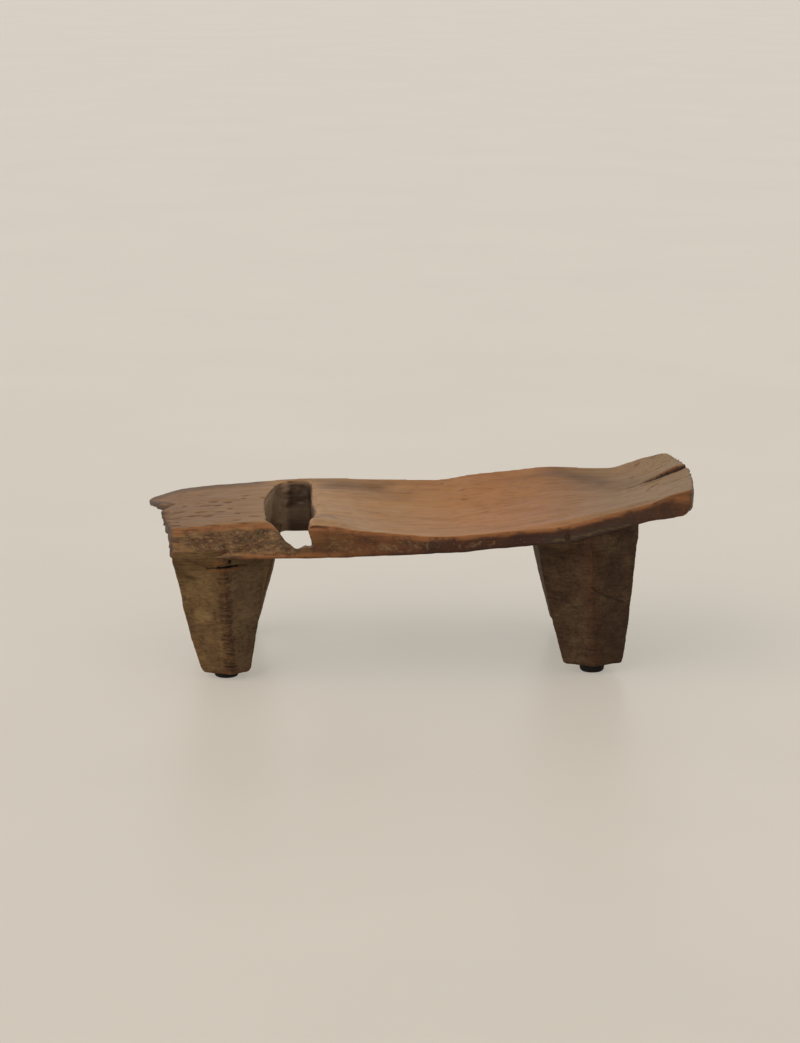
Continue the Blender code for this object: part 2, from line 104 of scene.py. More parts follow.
def new_material(name):
    """A node material with its output and a Principled shader, ready to be linked."""
    material = bpy.data.materials.new(name)
    material.use_nodes = True
    tree = material.node_tree
    return material, tree, tree.nodes["Principled BSDF"]


print("worn orange in linear light", [round(c, 3) for c in colour("8A5028")])

# %% [markdown]
# ## Floor and light
#
# The stool stands on a pale, slightly warm studio floor that runs far back, so it fills the whole picture.
# Soft light comes from a low, broad lamp on the left and from pale walls all round, so the shadow under the
# stool stays faint. Together they light a level surface at about the strength of one, so a colour renders
# close to the way it is written.

# %% Floor
FLOOR_SIZE = 90
FLOOR_GLOW = 0.45
bpy.ops.mesh.primitive_plane_add(size=FLOOR_SIZE, location=(0, 25, 0))
floor = bpy.context.object
floor.name = "studio_floor"
painted_floor, tree, shader = new_material("painted_studio_floor")
# Polished floor paint: faint cloudy patches about 400 mm across, and a sheen that mirrors the pale walls
place = add_node(tree, "TexCoord", out="Object")
cloud = add_node(tree, "TexNoise", {"Vector": place, "Scale": 2.5, "Detail": 3})
tint = add_node(tree, "ValToRGB", {0: cloud}, ramp=[(0.35, "BDB6A9"), (0.65, "C3BCAF")])
fill_inputs(tree, shader, {"Base Color": tint, "Roughness": 0.36})
# Seen straight on, in metal or through glass, part of the floor shines by itself: it looks paler and its
# shadow fainter, but it lights nothing
rays = add_node(tree, "LightPath").node.outputs
seen = rays["Is Camera Ray"]
for ray in ("Is Glossy Ray", "Is Transmission Ray"):
    seen = add_node(tree, "Math", {0: seen, 1: rays[ray]}, operation="ADD")
seen = add_node(tree, "Math", {0: seen, 1: FLOOR_GLOW}, operation="MULTIPLY")
glow = add_node(tree, "Emission", {"Color": colour("E2DACD")})
paler = add_node(tree, "MixShader", {0: seen, 1: shader.outputs[0], 2: glow})
fill_inputs(tree, tree.nodes["Material Output"], {"Surface": paler})
floor.data.materials.append(painted_floor)
print("floor", floor.dimensions[:2])

# %% Light
world = bpy.data.worlds.new("pale_walls")
bpy.context.scene.world = world
world.use_nodes = True
tree = world.node_tree
aim = add_node(tree, "TexCoord", out="Generated")
height = add_node(tree, "SeparateXYZ", {0: aim}, out="Z")
level = add_node(tree, "MapRange", {0: height, 1: 0.0, 2: 0.7, 3: 1.12, 4: 0.56})
fill_inputs(tree, tree.nodes["Background"], {"Color": colour("FFFBF6"), "Strength": level})
bpy.ops.object.light_add(type="SUN")
key = bpy.context.object
key.name = "soft_window_light"
key.rotation_euler = Vector((-0.72, -0.42, 0.55)).to_track_quat("Z", "Y").to_euler()
key.data.energy = 1.5
key.data.angle = radians(70)
key.data.color = colour("FFF6EA")[:3]
print("lamp strength", key.data.energy)

# %% [markdown]
# ## The seat's shape in numbers
#
# The seat is set by a few sections along its length, close to those of the CAD model: the height of its
# front and rear rims, how deep the dish is between them, and how thick the wood is. A smooth curve runs
# through the sections with no overshoot. Stations are places along X. These tables are in millimetres.

# %% Sections of the seat
WIDTH = 0.28
STATIONS = np.array([-312, -267, -177, -120, 22, 68, 115, 162, 226, 312]) / 1000
FRONT_RIM = [168, 173, 178, 177, 165.5, 168.4, 174, 182, 199, 221.5]
REAR_RIM = [153.5, 165, 172.5, 175.7, 173.2, 179.6, 183.8, 188.6, 185.4, 226.2]
HOLLOW = [0, 0, 0, 8, 12, 11.5, 10.6, 10, 10, 9]
FRONT_THICK = [26, 31, 36, 35, 18.5, 18, 20.7, 23.5, 24, 33]
REAR_THICK = [8, 28, 55, 55, 24, 24.3, 24.7, 25, 23, 28]
BELLY = [4, 6, 8, 12, 15, 14.2, 12.4, 10, 6, 3]
# The broken left end in plan: places across the seat, and how far left the wood still reaches there
TORN_Y = np.array([-140, -128, -116.6, -108, -98.8, -83, -72.9, -67, -59.3, -50, -41.9, -32, -19.6, -4, 10,
                   22, 33.5, 40, 52, 67, 84, 105, 131, 140]) / 1000
TORN_X = np.array([-278, -280, -283, -282.5, -280, -286.5, -289, -287.5, -282, -290, -291.5, -290, -284.5,
                   -294.5, -295, -288.5, -279, -290, -297.5, -302.5, -308.5, -312.8, -314.5, -311.5]) / 1000
# The raised right end in plan: it bows out in the middle and turns in sharply at the rear
ROUND_Y = np.array([-140, -132, -90, -50, 0, 23, 47, 84, 98, 107, 113, 128, 140]) / 1000
ROUND_X = np.array([292.2, 294.9, 300.2, 305.1, 308.2, 306.6, 303.6, 297.7, 294.1, 290, 285.5, 271.2,
                   251.2]) / 1000


def mix(start, end, share):
    """The value that lies a share of the way from start to end."""
    return start + (end - start) * share


def fade(value, low, high):
    """Zero at low, one at high, smooth between. Low may be above high."""
    share = np.clip((value - low) / (high - low), 0, 1)
    return share * share * (3 - 2 * share)


def window(value, start, full, last, end):
    """One from full to last, zero before start and after end, smooth between."""
    return fade(value, start, full) * fade(value, end, last)


def through_stations(heights, x):
    """Heights at any place along X, on a smooth curve through the stations."""
    heights = np.array(heights) / 1000
    spans = np.diff(STATIONS)
    slopes = np.diff(heights) / spans
    same_way = slopes[:-1] * slopes[1:] > 0
    total = np.where(same_way, slopes[:-1] + slopes[1:], 1)
    inner = np.where(same_way, 2 * slopes[:-1] * slopes[1:] / total, 0)
    tangents = np.concatenate([slopes[:1], inner, slopes[-1:]])
    i = np.clip(np.searchsorted(STATIONS, x, side="right") - 1, 0, len(spans) - 1)
    t = np.clip((x - STATIONS[i]) / spans[i], 0, 1)
    leave = tangents[i] * spans[i] * t * (1 - t) ** 2
    arrive = tangents[i + 1] * spans[i] * t * t * (1 - t)
    return mix(heights[i], heights[i + 1], t * t * (3 - 2 * t)) + leave - arrive


print("rims are", through_stations(FRONT_RIM, np.array([0.0, 0.2])).round(4), "m high at X = 0 and 0.2")

# %% Faces of the seat
def seat_top(x, across):
    rim = mix(through_stations(FRONT_RIM, x), through_stations(REAR_RIM, x), across)
    rubbed_edge = 0.0038 * fade(across, 0.065, 0.0) * window(x, 0.09, 0.15, 0.245, 0.272)
    return rim - through_stations(HOLLOW, x) * 4 * across * (1 - across) - rubbed_edge


def seat_under(x, across):
    front = through_stations(FRONT_RIM, x) - through_stations(FRONT_THICK, x)
    rear = through_stations(REAR_RIM, x) - through_stations(REAR_THICK, x)
    return mix(front, rear, across) - through_stations(BELLY, x) * 4 * across * (1 - across)


def on_top(x, y):
    """A place on the seat's top face."""
    x, y = np.float64(x), np.float64(y)
    return (x, y, float(seat_top(np.array([x]), y / WIDTH + 0.5)[0]))


print("the dish is", round(on_top(0.022, 0)[2] * 1000, 1), "mm above the floor in its middle")

# %% [markdown]
# ## Working a block of wood
#
# A carver starts from a squared blank, so the seat starts as a cube that is cut into a fine net along each
# axis. The net's points are then moved to the sections above. A grid with thickness would do as well, but a
# cube is closed from the start, which the later cuts need.

# %% Cut a cube into a net
def select_only(piece):
    bpy.ops.object.select_all(action="DESELECT")
    piece.select_set(True)
    bpy.context.view_layer.objects.active = piece


def cut_along(piece, axis, cuts):
    """Cuts every edge that runs along one axis into equal lengths."""
    select_only(piece)
    bpy.ops.object.mode_set(mode="EDIT")
    bpy.ops.mesh.select_mode(type="EDGE")
    bpy.ops.mesh.select_all(action="DESELECT")
    net = bmesh.from_edit_mesh(piece.data)
    for edge in net.edges:
        run = edge.verts[1].co - edge.verts[0].co
        edge.select_set(abs(run[axis]) > 0.9 * run.length)
    bmesh.update_edit_mesh(piece.data)
    bpy.ops.mesh.subdivide(number_cuts=cuts)
    bpy.ops.object.mode_set(mode="OBJECT")


def points_of(piece, what="co"):
    flat = np.empty(len(piece.data.vertices) * 3)
    piece.data.vertices.foreach_get(what, flat)
    return flat.reshape(-1, 3)


def skin_of(piece):
    """The points of a piece and the way each of them faces."""
    return points_of(piece), points_of(piece, "normal")


def move_points(piece, points):
    piece.data.vertices.foreach_set("co", points.ravel())
    piece.data.update()


SEAT_CUTS = (150, 90, 6)
bpy.ops.mesh.primitive_cube_add(size=1)
seat = bpy.context.object
seat.name = "carved_seat"
for axis, cuts in enumerate(SEAT_CUTS):
    cut_along(seat, axis, cuts)
print("seat blank has", len(seat.data.vertices), "points")

# %% Move the net to the seat's sections
along, across, up = points_of(seat).T + 0.5
y = mix(-WIDTH / 2, WIDTH / 2, across)
x = mix(np.interp(y, TORN_Y, TORN_X), np.interp(y, ROUND_Y, ROUND_X), along)
top, under = seat_top(x, across), seat_under(x, across)
# Behind its front corner the broken end thins to a ledge, and behind the slot the underside hangs level
thin = np.interp(y, [-0.14, -0.125, -0.11, -0.05, 0.04, 0.09, 0.125],
                 [0.05, 0.036, 0.012, 0.009, 0.0065, 0.0046, 0.0062])
under = mix(under, np.maximum(under, top - thin), fade(x, -0.264, -0.281))
level = window(x, -0.215, -0.185, -0.112, -0.085) * fade(y, 0.03, 0.085)
under = mix(under, np.minimum(under, 0.1163), level)
# The front face of the block leans back
lean = 0.022 * fade(x, -0.12, -0.177)
y = mix(y, mix(-WIDTH / 2 + lean, WIDTH / 2, across), up)
move_points(seat, np.column_stack([x, y, mix(under, top, up)]))
print("seat blank measures", [round(d * 1000) for d in seat.dimensions], "mm")

# %% [markdown]
# ## Hand slot, broken rim and drying crack
#
# A hand slot goes right through the seat, and the rim in front of it has broken away into a notch. The
# raised end has split along the grain. Each is a prism that a Boolean takes out of the blank: a filled ring
# of corners is extruded, and its two ends are moved to two outlines, which need not be alike. Cutting with
# the knife tool would need a window.

# %% Prisms to cut with
def normals_outward(piece):
    """Turns the faces of a closed piece to its outside."""
    select_only(piece)
    bpy.ops.object.mode_set(mode="EDIT")
    bpy.ops.mesh.select_all(action="SELECT")
    bpy.ops.mesh.normals_make_consistent(inside=False)
    bpy.ops.object.mode_set(mode="OBJECT")


def corner_numbers(points, corners):
    """Each point's corner in a ring. Blender's rings go round from +Y by way of +X."""
    turn = np.arctan2(points[:, 0], points[:, 1]) / (2 * np.pi / corners)
    return np.round(turn).astype(int) % corners


def make_prism(name, near, far):
    """A filled ring of corners, extruded, with one end at the near outline and the other at the far one."""
    bpy.ops.mesh.primitive_circle_add(vertices=len(near), fill_type="NGON")
    prism = bpy.context.object
    prism.name = name
    bpy.ops.object.mode_set(mode="EDIT")
    bpy.ops.mesh.select_all(action="SELECT")
    bpy.ops.mesh.extrude_region_move(TRANSFORM_OT_translate={"value": (0, 0, 1)})
    bpy.ops.object.mode_set(mode="OBJECT")
    points = points_of(prism)
    corner = corner_numbers(points, len(near))
    move_points(prism, np.where(points[:, 2:] > 0.5, np.array(far)[corner], np.array(near)[corner]))
    normals_outward(prism)
    return prism


def apply_modifier(piece, kind, **settings):
    select_only(piece)
    modifier = piece.modifiers.new(kind.lower(), kind)
    for name, value in settings.items():
        setattr(modifier, name, value)
    bpy.ops.object.modifier_apply(modifier=modifier.name)


def cut_out(piece, prism):
    apply_modifier(piece, "BOOLEAN", operation="DIFFERENCE", solver="EXACT", object=prism)
    bpy.data.objects.remove(prism)


def smooth_ring(corners, steps):
    """A smooth closed curve through the corners, as plain points."""
    ring = np.array(corners)
    before, after, beyond = np.roll(ring, 1, 0), np.roll(ring, -1, 0), np.roll(ring, -2, 0)
    bend, twist = 2 * before - 5 * ring + 4 * after - beyond, 3 * ring - before - 3 * after + beyond
    shares = np.linspace(0, 1, steps, endpoint=False)
    points = [ring + 0.5 * ((after - before) * t + bend * t ** 2 + twist * t ** 3) for t in shares]
    return np.stack(points, axis=1).reshape(-1, ring.shape[1])


print("a smooth ring of four corners has", len(smooth_ring([(0, 0), (1, 0), (1, 1), (0, 1)], 6)), "points")

# %% Cut the slot, the notch and the crack
# The slot's left wall is undercut and its far wall leans forward, so it has one outline above and one below
above_plan = [
    (-168.5, -114), (-173.8, -80), (-176.2, -33), (-175.5, 20), (-171.8, 58),
    (-168, 84), (-162.6, 112), (-152.5, 125.2), (-139.4, 128.8), (-129, 129.5),
    (-125.4, 118), (-124.5, 40), (-121.6, -12), (-123.8, -53), (-127, -114),
]
below_plan = [
    (-172, -114), (-180, -80), (-186, -33), (-188, 20), (-182.5, 58),
    (-174.5, 84), (-163, 106), (-153, 112.5), (-140, 112.5), (-123.5, 112.5),
    (-119.5, 104), (-120.5, 40), (-119.2, -12), (-122.5, -53), (-127, -114),
]
slot_above = smooth_ring([(*corner, 174) for corner in above_plan], steps=5) / 1000
slot_below = smooth_ring([(*corner, 118) for corner in below_plan], steps=5) / 1000
past = 0.4 * (slot_above - slot_below)
cut_out(seat, make_prism("slot_prism", slot_below - past, slot_above + past))
# The broken notch runs back and down along the line of sight, so that its outline is the one in the picture
notch = [
    (-173.5, 182.5), (-185, 200), (-125.5, 200), (-127, 177), (-127.5, 172),
    (-126, 165), (-121.1, 154.5), (-127.8, 154.3), (-131.2, 156.2), (-137, 152.9),
    (-141.8, 152.2), (-147.8, 157.9), (-152, 160), (-158.7, 169.8), (-168.1, 179.7),
]
notch = np.array([(x, -137, z) for x, z in notch]) / 1000
cut_out(seat, make_prism("notch_prism", notch + (0, -0.033, 0.0069), notch + (0, 0.042, -0.0088)))
# The crack follows the grain of the raised end
SPLIT_X = np.array([0.2566, 0.272, 0.285, 0.3, 0.33])
SPLIT_Y = np.array([0.0262, 0.0215, 0.019, 0.0165, 0.012])
opening = np.array([0.0004, 0.0014, 0.0021, 0.0023, 0.0018])
edges = np.append(SPLIT_Y - opening, (SPLIT_Y + opening)[::-1])
crack_under = np.column_stack([np.append(SPLIT_X, SPLIT_X[::-1]), edges, np.full(len(edges), 0.15)])
cut_out(seat, make_prism("crack_prism", crack_under, crack_under + (0, 0, 0.15)))
print("seat after the cuts has", len(seat.data.polygons), "faces")

# %% [markdown]
# ## An even skin
#
# Booleans leave long thin faces, which can't be shaped any further. A voxel remesh lays an even skin of
# small quads over the whole block, and a light smoothing takes the machine-sharp edges down to the few
# millimetres of rounding that hands and feet give. Fine work starts from here.

# %% Remesh and soften
def even_skin(piece, voxel, passes):
    apply_modifier(piece, "REMESH", mode="VOXEL", voxel_size=voxel, use_smooth_shade=True)
    apply_modifier(piece, "SMOOTH", factor=0.5, iterations=passes)


SEAT_VOXEL = 0.0017
even_skin(seat, SEAT_VOXEL, passes=8)
print("seat skin has", len(seat.data.polygons), "faces")

# %% [markdown]
# ## Carving by strokes
#
# In sculpt mode each stroke pushes the skin in or out under the brush. The same is done here in code, so
# that it comes out the same each time. A stroke follows a short path and fades at the brush's edge, and
# wood noise, long along the grain and short across it, roughens what the brush covers.

# %% Brushes
def stroke(points, path, width):
    """One on the path, zero a brush width away from it."""
    path = np.array(path)
    near = np.full(len(points), np.inf)
    for start, end in zip(path, path[1:]):
        run = end - start
        t = np.clip((points - start) @ run / (run @ run), 0, 1)
        near = np.minimum(near, np.linalg.norm(points - start - t[:, None] * run, axis=1))
    return fade(near, width, 0)


def side_stroke(points, path, width):
    """A stroke seen from the front: its path is along X and Z, and it goes through from front to rear."""
    return stroke(points * (1, 0, 1), [(x, 0, z) for x, z in path], width)


def rough(points, size, seed, octaves=3):
    """Noise from about -1 to 1 in lumps of the given size along X, Y and Z."""
    scaled = points / np.array(size) + 17.3 * seed
    return np.array([noise.fractal(Vector(p), 1.0, 2.0, octaves) for p in scaled])


print("rough starts", rough(points_of(seat)[:500], (0.02, 0.02, 0.02), 1).round(2)[:3])

# %% Splintered left end and block front
points, normals = skin_of(seat)
x, y, z = points.T
torn_edge = np.interp(y, TORN_Y, TORN_X)
end = fade(x - torn_edge, 0.02, 0.002)
points[:, 0] += end * np.clip(rough(points, (0.06, 0.016, 0.012), 1) + 0.2, 0, 1) * 0.0014
points[:, 2] += end * rough(points, (0.03, 0.014, 0.02), 2) * 0.0008
face = fade(-normals[:, 1], 0.35, 0.75) * fade(x, -0.12, -0.135) * fade(z, 0.14, 0.148)
splinters = rough(points, (0.016, 0.012, 0.005), 3, 4) * 0.002
splinters += rough(points, (0.006, 0.006, 0.0035), 4) * 0.0008
points[:, 1] += face * (0.001 + splinters)
move_points(seat, points)
print("splintered", int((end > 0.5).sum()), "points at the end and", int((face > 0.5).sum()), "on the block")

# %% Raised end and knob
points, normals = skin_of(seat)
x, y, z = points.T
upper = fade(normals[:, 2], 0.0, 0.4)
# The raised end has split: behind the split the wood stands higher than in front of it
behind = y - np.interp(x, SPLIT_X, SPLIT_Y)
raised = np.interp(x, [0.25, 0.272, 0.285, 0.296, 0.302, 0.307],
                   [0, 0.002, 0.0032, 0.0032, 0.0014, -0.001])
sunk = np.interp(x, [0.25, 0.272, 0.285, 0.3, 0.308], [0, 0.001, 0.0014, 0.0022, 0.0018])
points[:, 2] += fade(np.abs(behind), 0.055, 0.004) * upper * np.where(behind > 0, raised, -sunk)
points[:, 2] -= 0.009 * fade(np.abs(behind), 0.003, 0.0004) * fade(x, 0.254, 0.285) * upper
# Its front corner is rounded off below
corner = fade(y, -0.095, -0.138) * fade(x, 0.268, 0.294)
lower = fade(z - seat_under(x, np.clip(y / WIDTH + 0.5, 0, 1)), 0.013, 0.0)
points[:, 0] -= corner * 0.006 * lower
# A knob of wood stands up right of the notch
knob = stroke(points, [on_top(-0.117, -0.116), on_top(-0.1, -0.116)], 0.033)
knob_corner = window(x, -0.15, -0.14, -0.129, -0.1215) * fade(y, -0.08, -0.1) * fade(z, 0.164, 0.17)
points[:, 2] += (0.0078 * knob - 0.003 * knob_corner) * fade(normals[:, 2], 0.0, 0.5)
print("the knob covers", int((knob > 0.5).sum()), "points")

# %% Short checks and other strokes
def open_check(points, path):
    """How far a short check in the wood covers each point: broad in its middle half, thin to its ends."""
    start, end = np.array(path)
    middle = [mix(start, end, 0.25), mix(start, end, 0.75)]
    return np.maximum(0.75 * stroke(points, path, 0.0024), stroke(points, middle, 0.0038))


def wavered(points):
    """The points moved a little across the grain, so that what is drawn on them wavers."""
    return points + (0.0016 * rough(points, (0.012, 0.01, 0.01), 31, 2))[:, None] * (0, 1, 0)


CHECKS = [
    # Short open checks along the grain of the block's top and the raised end: where each starts and ends
    # along X, and where it lies along Y, in millimetres
    (-217, -213, -26), (-209, -203, -56), (-249, -236, 4), (-234, -224, -1), (-203, -196, 48),
    (-202, -199, 32), (-282, -266, -21), (-281, -270, -58), (-261, -247, -54), (-244, -234, -62),
    (-192, -180, -81), (-210, -202, -100), (-255, -241, -34), (-269, -266, 14), (-230, -221, -42),
    (-276, -268, -106), (-278, -270, -87), (-222, -214, 14), (-240, -231, 24), (263, 269, -13),
    (274, 278, -28), (256, 259, -32), (278, 283, 58), (258, 264, 114), (247, 253, 70), (276, 283, 108),
]
CHECK_DEPTH = 0.0012
checks = [[on_top(x0 / 1000, y0 / 1000), on_top(x1 / 1000, y0 / 1000)] for x0, x1, y0 in CHECKS]
drawn_on = wavered(points)
for path in checks:
    points[:, 2] -= CHECK_DEPTH * open_check(drawn_on, path)
TEAR = [(-297, 78), (-282.5, 42)]
SHORT_SPLIT = [(256, 14), (276, 6)]
STROKES = [
    # path, brush width and how far out it moves the skin, in millimetres. A place with no height is on the
    # seat's top
    ([(-129.5, -140, 175.7), (-116, -141, 176.8), (-105, -142, 175.5)], 3.6, -3),
    ([(-122, -78), (-106, -76), (-94, -86)], 8, -2.2),
    ([(-125, -60), (-120, 0), (-122, 72), (-126, 115)], 10, -2.6),
    ([(-178, 33, 178), (-177, 30, 166)], 5, -4),
    ([(-150, 121, 166), (-154, 112, 140), (-158, 108, 122)], 10, 3),
    # A tear in the broken end, and short splits beside the long one
    (TEAR, 3, -1),
    (SHORT_SPLIT, 3.4, -2.6),
    ([(250, 22), (228, 25)], 3, -1.2),
    ([(258, -26), (270, -8)], 3, -1.4),
    ([(262, 60), (290, 56)], 3.5, -1),
    ([(282, -36), (300, -40)], 3.5, -1),
]
for path, width, push in STROKES:
    path = [np.array(place) / 1000 for place in path]
    path = [place if len(place) == 3 else on_top(*place) for place in path]
    points += normals * (stroke(points, path, width / 1000) * push / 1000)[:, None]
move_points(seat, points)
print("carved", len(checks), "checks and", len(STROKES), "strokes into the seat")

# %% Adze marks and waver over the whole seat
points, normals = skin_of(seat)
worn_top = fade(normals[:, 2], 0.5, 0.9)
waver = rough(points, (0.09, 0.05, 0.05), 5, 2) * 0.001
marks = rough(points, (0.03, 0.012, 0.012), 6, 3) * mix(0.0008, 0.0002, worn_top)
points += normals * (waver + marks)[:, None]
# Pin holes in the rim over the right legs, as a path along X and Z
PIN_HOLE = [(0.157, 0.1605), (0.157, 0.164)]
PIN_HOLE_WIDTH = 0.0034
PIN_HOLE_DEPTH = 0.0055
for side in (-1, 1):
    hole = stroke(points, [(px, side * WIDTH / 2, pz) for px, pz in PIN_HOLE], PIN_HOLE_WIDTH)
    points[:, 1] -= side * hole * PIN_HOLE_DEPTH
move_points(seat, points)
print("adze marks up to", round(float(np.abs(marks).max()) * 1000, 2), "mm deep")

# %% [markdown]
# ## Four legs
#
# Each leg is five-sided: two outer faces that meet in a ridge, two sides and a back. It starts as a
# five-cornered cylinder, cut into rings, and each ring is moved to the leg's section at that height. The
# top runs up into the seat and flares out to its rim, so that the wood reads as one timber. The legs differ,
# so each has its own row of sizes.

# %% Sizes of the legs
Leg = namedtuple("Leg", "faces top_x foot_x top_length foot_length inset lift shoulder ridge_shift")
LEG_ROWS = {
    # faces is -1 for the front and 1 for the rear, lengths are along X, inset is from the seat's edge to the
    # foot's ridge, lift and shoulder are heights, and ridge_shift is from the leg's middle to its ridge
    "leg_front_left": Leg(-1, -0.227, -0.2195, 0.102, 0.054, 0.011, 0.007, 0.131, 0.0055),
    "leg_rear_left": Leg(1, -0.217, -0.2165, 0.122, 0.06, 0.011, 0.007, 0.131, 0.0055),
    "leg_front_right": Leg(-1, 0.182, 0.19, 0.114, 0.066, 0.02, 0.011, 0.152, 0.0),
    "leg_rear_right": Leg(1, 0.1834, 0.1919, 0.1126, 0.0642, 0.02, 0.011, 0.152, 0.0),
}


def leg_corners(row, z):
    """The five corners of a leg at each height: ridge, side, back, back, side."""
    sign, top_x, foot_x, top_length, foot_length, inset, lift, shoulder, shift = row
    share = np.minimum((z - lift) / (shoulder - lift), 1)
    swell = 0.002 * 4 * share * (1 - share)
    half = mix(foot_length, top_length, share) / 2 + swell
    ridge = WIDTH / 2 - mix(inset, 0.006, share) + swell
    side = ridge - mix(0.015, 0.028, share * (2 - share))
    back = ridge - mix(0.054, 0.096, share) - 2 * swell
    away = np.stack([0 * half + shift, half, half - 0.005, 0.005 - half, -half], axis=1)
    out = np.stack([ridge, side, back, back, side], axis=1)
    return mix(foot_x, top_x, share)[:, None] + away, sign * out


foot_x, foot_y = leg_corners(LEG_ROWS["leg_front_left"], np.array([0.02]))
print("front left leg's ridge is at", foot_x[0, 0].round(4), foot_y[0, 0].round(4), "near its foot")

# %% Rough out the legs
LEG_VOXEL = 0.0014
INTO_SEAT = 0.01


def rough_out_leg(name, row):
    bpy.ops.mesh.primitive_cylinder_add(vertices=5, radius=1, depth=1)
    leg = bpy.context.object
    leg.name = "carved_" + name
    cut_along(leg, axis=2, cuts=11)
    points = points_of(leg)
    own_corner = np.arange(len(points)), corner_numbers(points, 5)
    top_x, top_y = (grid[own_corner] for grid in leg_corners(row, np.full(len(points), row.shoulder)))
    top = seat_under(top_x, np.clip(top_y / WIDTH + 0.5, 0, 1)) + INTO_SEAT
    z = mix(row.lift - 0.001, top, points[:, 2] + 0.5)
    x, y = (grid[own_corner] for grid in leg_corners(row, z))
    move_points(leg, np.column_stack([x, y, z]))
    normals_outward(leg)
    even_skin(leg, LEG_VOXEL, passes=14)
    return leg


legs = {name: rough_out_leg(name, row) for name, row in LEG_ROWS.items()}
print("legs have", [len(leg.data.polygons) for leg in legs.values()], "faces")

# %% Flare the tops out to the rim and round the feet
for name, leg in legs.items():
    row = LEG_ROWS[name]
    x, y, z = points_of(leg).T
    # Years of dragging over floors have rounded the foot's lower edge, most of all on the left legs
    if name.endswith("left"):
        rim, edge, drawn = 0.1388, 0.006, 0.06
        flare = fade(z, 0.112, 0.146) * fade(x, -0.198, -0.238)
    else:
        rim, edge, drawn = 0.1376, 0.004, 0.03
        flare = fade(z, 0.125, 0.158) * fade(x, 0.25, 0.19)
    flare *= fade(row.faces * y, 0.085, 0.105)
    y = mix(y, row.faces * np.maximum(rim, row.faces * y), flare)
    xs, ys = leg_corners(row, z)
    low = drawn * np.clip((row.lift + edge - z) / edge, 0, 1) ** 2
    x = mix(x, xs[:, 1:].mean(axis=1), low)
    # The outer sides are hewn a little flatter, and the rear left leg keeps clear of the broken end's ledge
    x += 0.0012 * fade(x, -0.258, -0.272) * fade(z, 0.072, 0.092)
    x -= 0.0015 * fade(x, 0.2, 0.22) * window(z, 0.055, 0.08, 0.145, 0.16)
    if name == "leg_rear_left":
        x = np.maximum(x, -0.2655)
    move_points(leg, np.column_stack([x, mix(y, ys[:, 1:].mean(axis=1), low), z]))
rim_reach = float(np.abs(points_of(legs["leg_front_right"])[:, 1]).max())
print("legs flare to", round(rim_reach, 4), "m from the middle")

# %% [markdown]
# The grain runs along the seat, so it crosses the legs level. That is why their ridges have chipped in
# short level nicks, one above the other, and why the front left leg has opened in a slit under the seat. The
# nicks are strokes with seeded chance in their length and depth, and slits, cracks and pin holes are strokes
# of their own. Most strokes also paint shade into their cut, more into deeper nicks. All are given as places
# along X and Z, and pressed into the leg's outer faces.

# %% Nicks, slits and adze marks on the legs
LEG_STROKES = {
    # path along X and Z, brush width and how far out it moves the skin, all in millimetres, then how much
    # shade is painted into it and how worn
    "leg_front_left": [
        # The slit under the seat, painted dark as shade in its hollow
        ([(-226.5, 130), (-218.5, 130.6), (-211.5, 130.7)], 2.1, -5.5, 0.85, 0),
        ([(-211.5, 130.7), (-205, 130.7)], 1.9, -3.4, 0.78, 0),
        ([(-239, 128.9), (-226.5, 130)], 1.8, -2, 0.75, 0),
        ([(-205, 130.7), (-195, 130.2)], 1.8, -1.4, 0.65, 0),
        ([(-236, 126.4), (-223, 127.4), (-213, 128.1), (-202, 127.9)], 2.2, 0.7, 0, 0.7),
        ([(-224, 9.2), (-208, 8.6), (-195, 9.8)], 2.2, 0, 0, 0.4),
        ([(-232, 135.8), (-220, 136.8)], 3.2, 0, 0, 0.55),
        ([(-253.3, 60.7), (-238, 62.2), (-223, 66.3)], 2, -0.7, 0.35, 0),
        ([(-213, 136.5), (-212.8, 136.5)], 2.6, -6, 1, 0),
    ],
    "leg_rear_left": [
        ([(-203, 136.5), (-202.8, 136.5)], 2.6, -6, 1, 0),
        ([(-240, 120), (-200, 122)], 1.8, -2, 0.5, 0),
    ],
    "leg_front_right": [
        ([(185, 104), (192.5, 97.5), (201.7, 92.3), (224.5, 81)], 1.8, -1, 0.6, 0),
        ([(150, 90), (163, 82.5), (172, 76.5)], 1.7, -0.5, 0.4, 0),
        ([(190, 124), (215, 128), (226, 127)], 1.7, -0.5, 0.3, 0),
        ([(183.5, 146), (185, 100)], 2.2, 0.4, 0, 0.14),
    ],
    "leg_rear_right": [
        ([(160, 85), (178, 80), (200, 82)], 2.4, -1.4, 0.8, 0),
    ],
}
NICK_SPACING = 0.0029
NICK_WIDTH = 0.0017
chance = np.random.default_rng(7)
leg_marks = {}
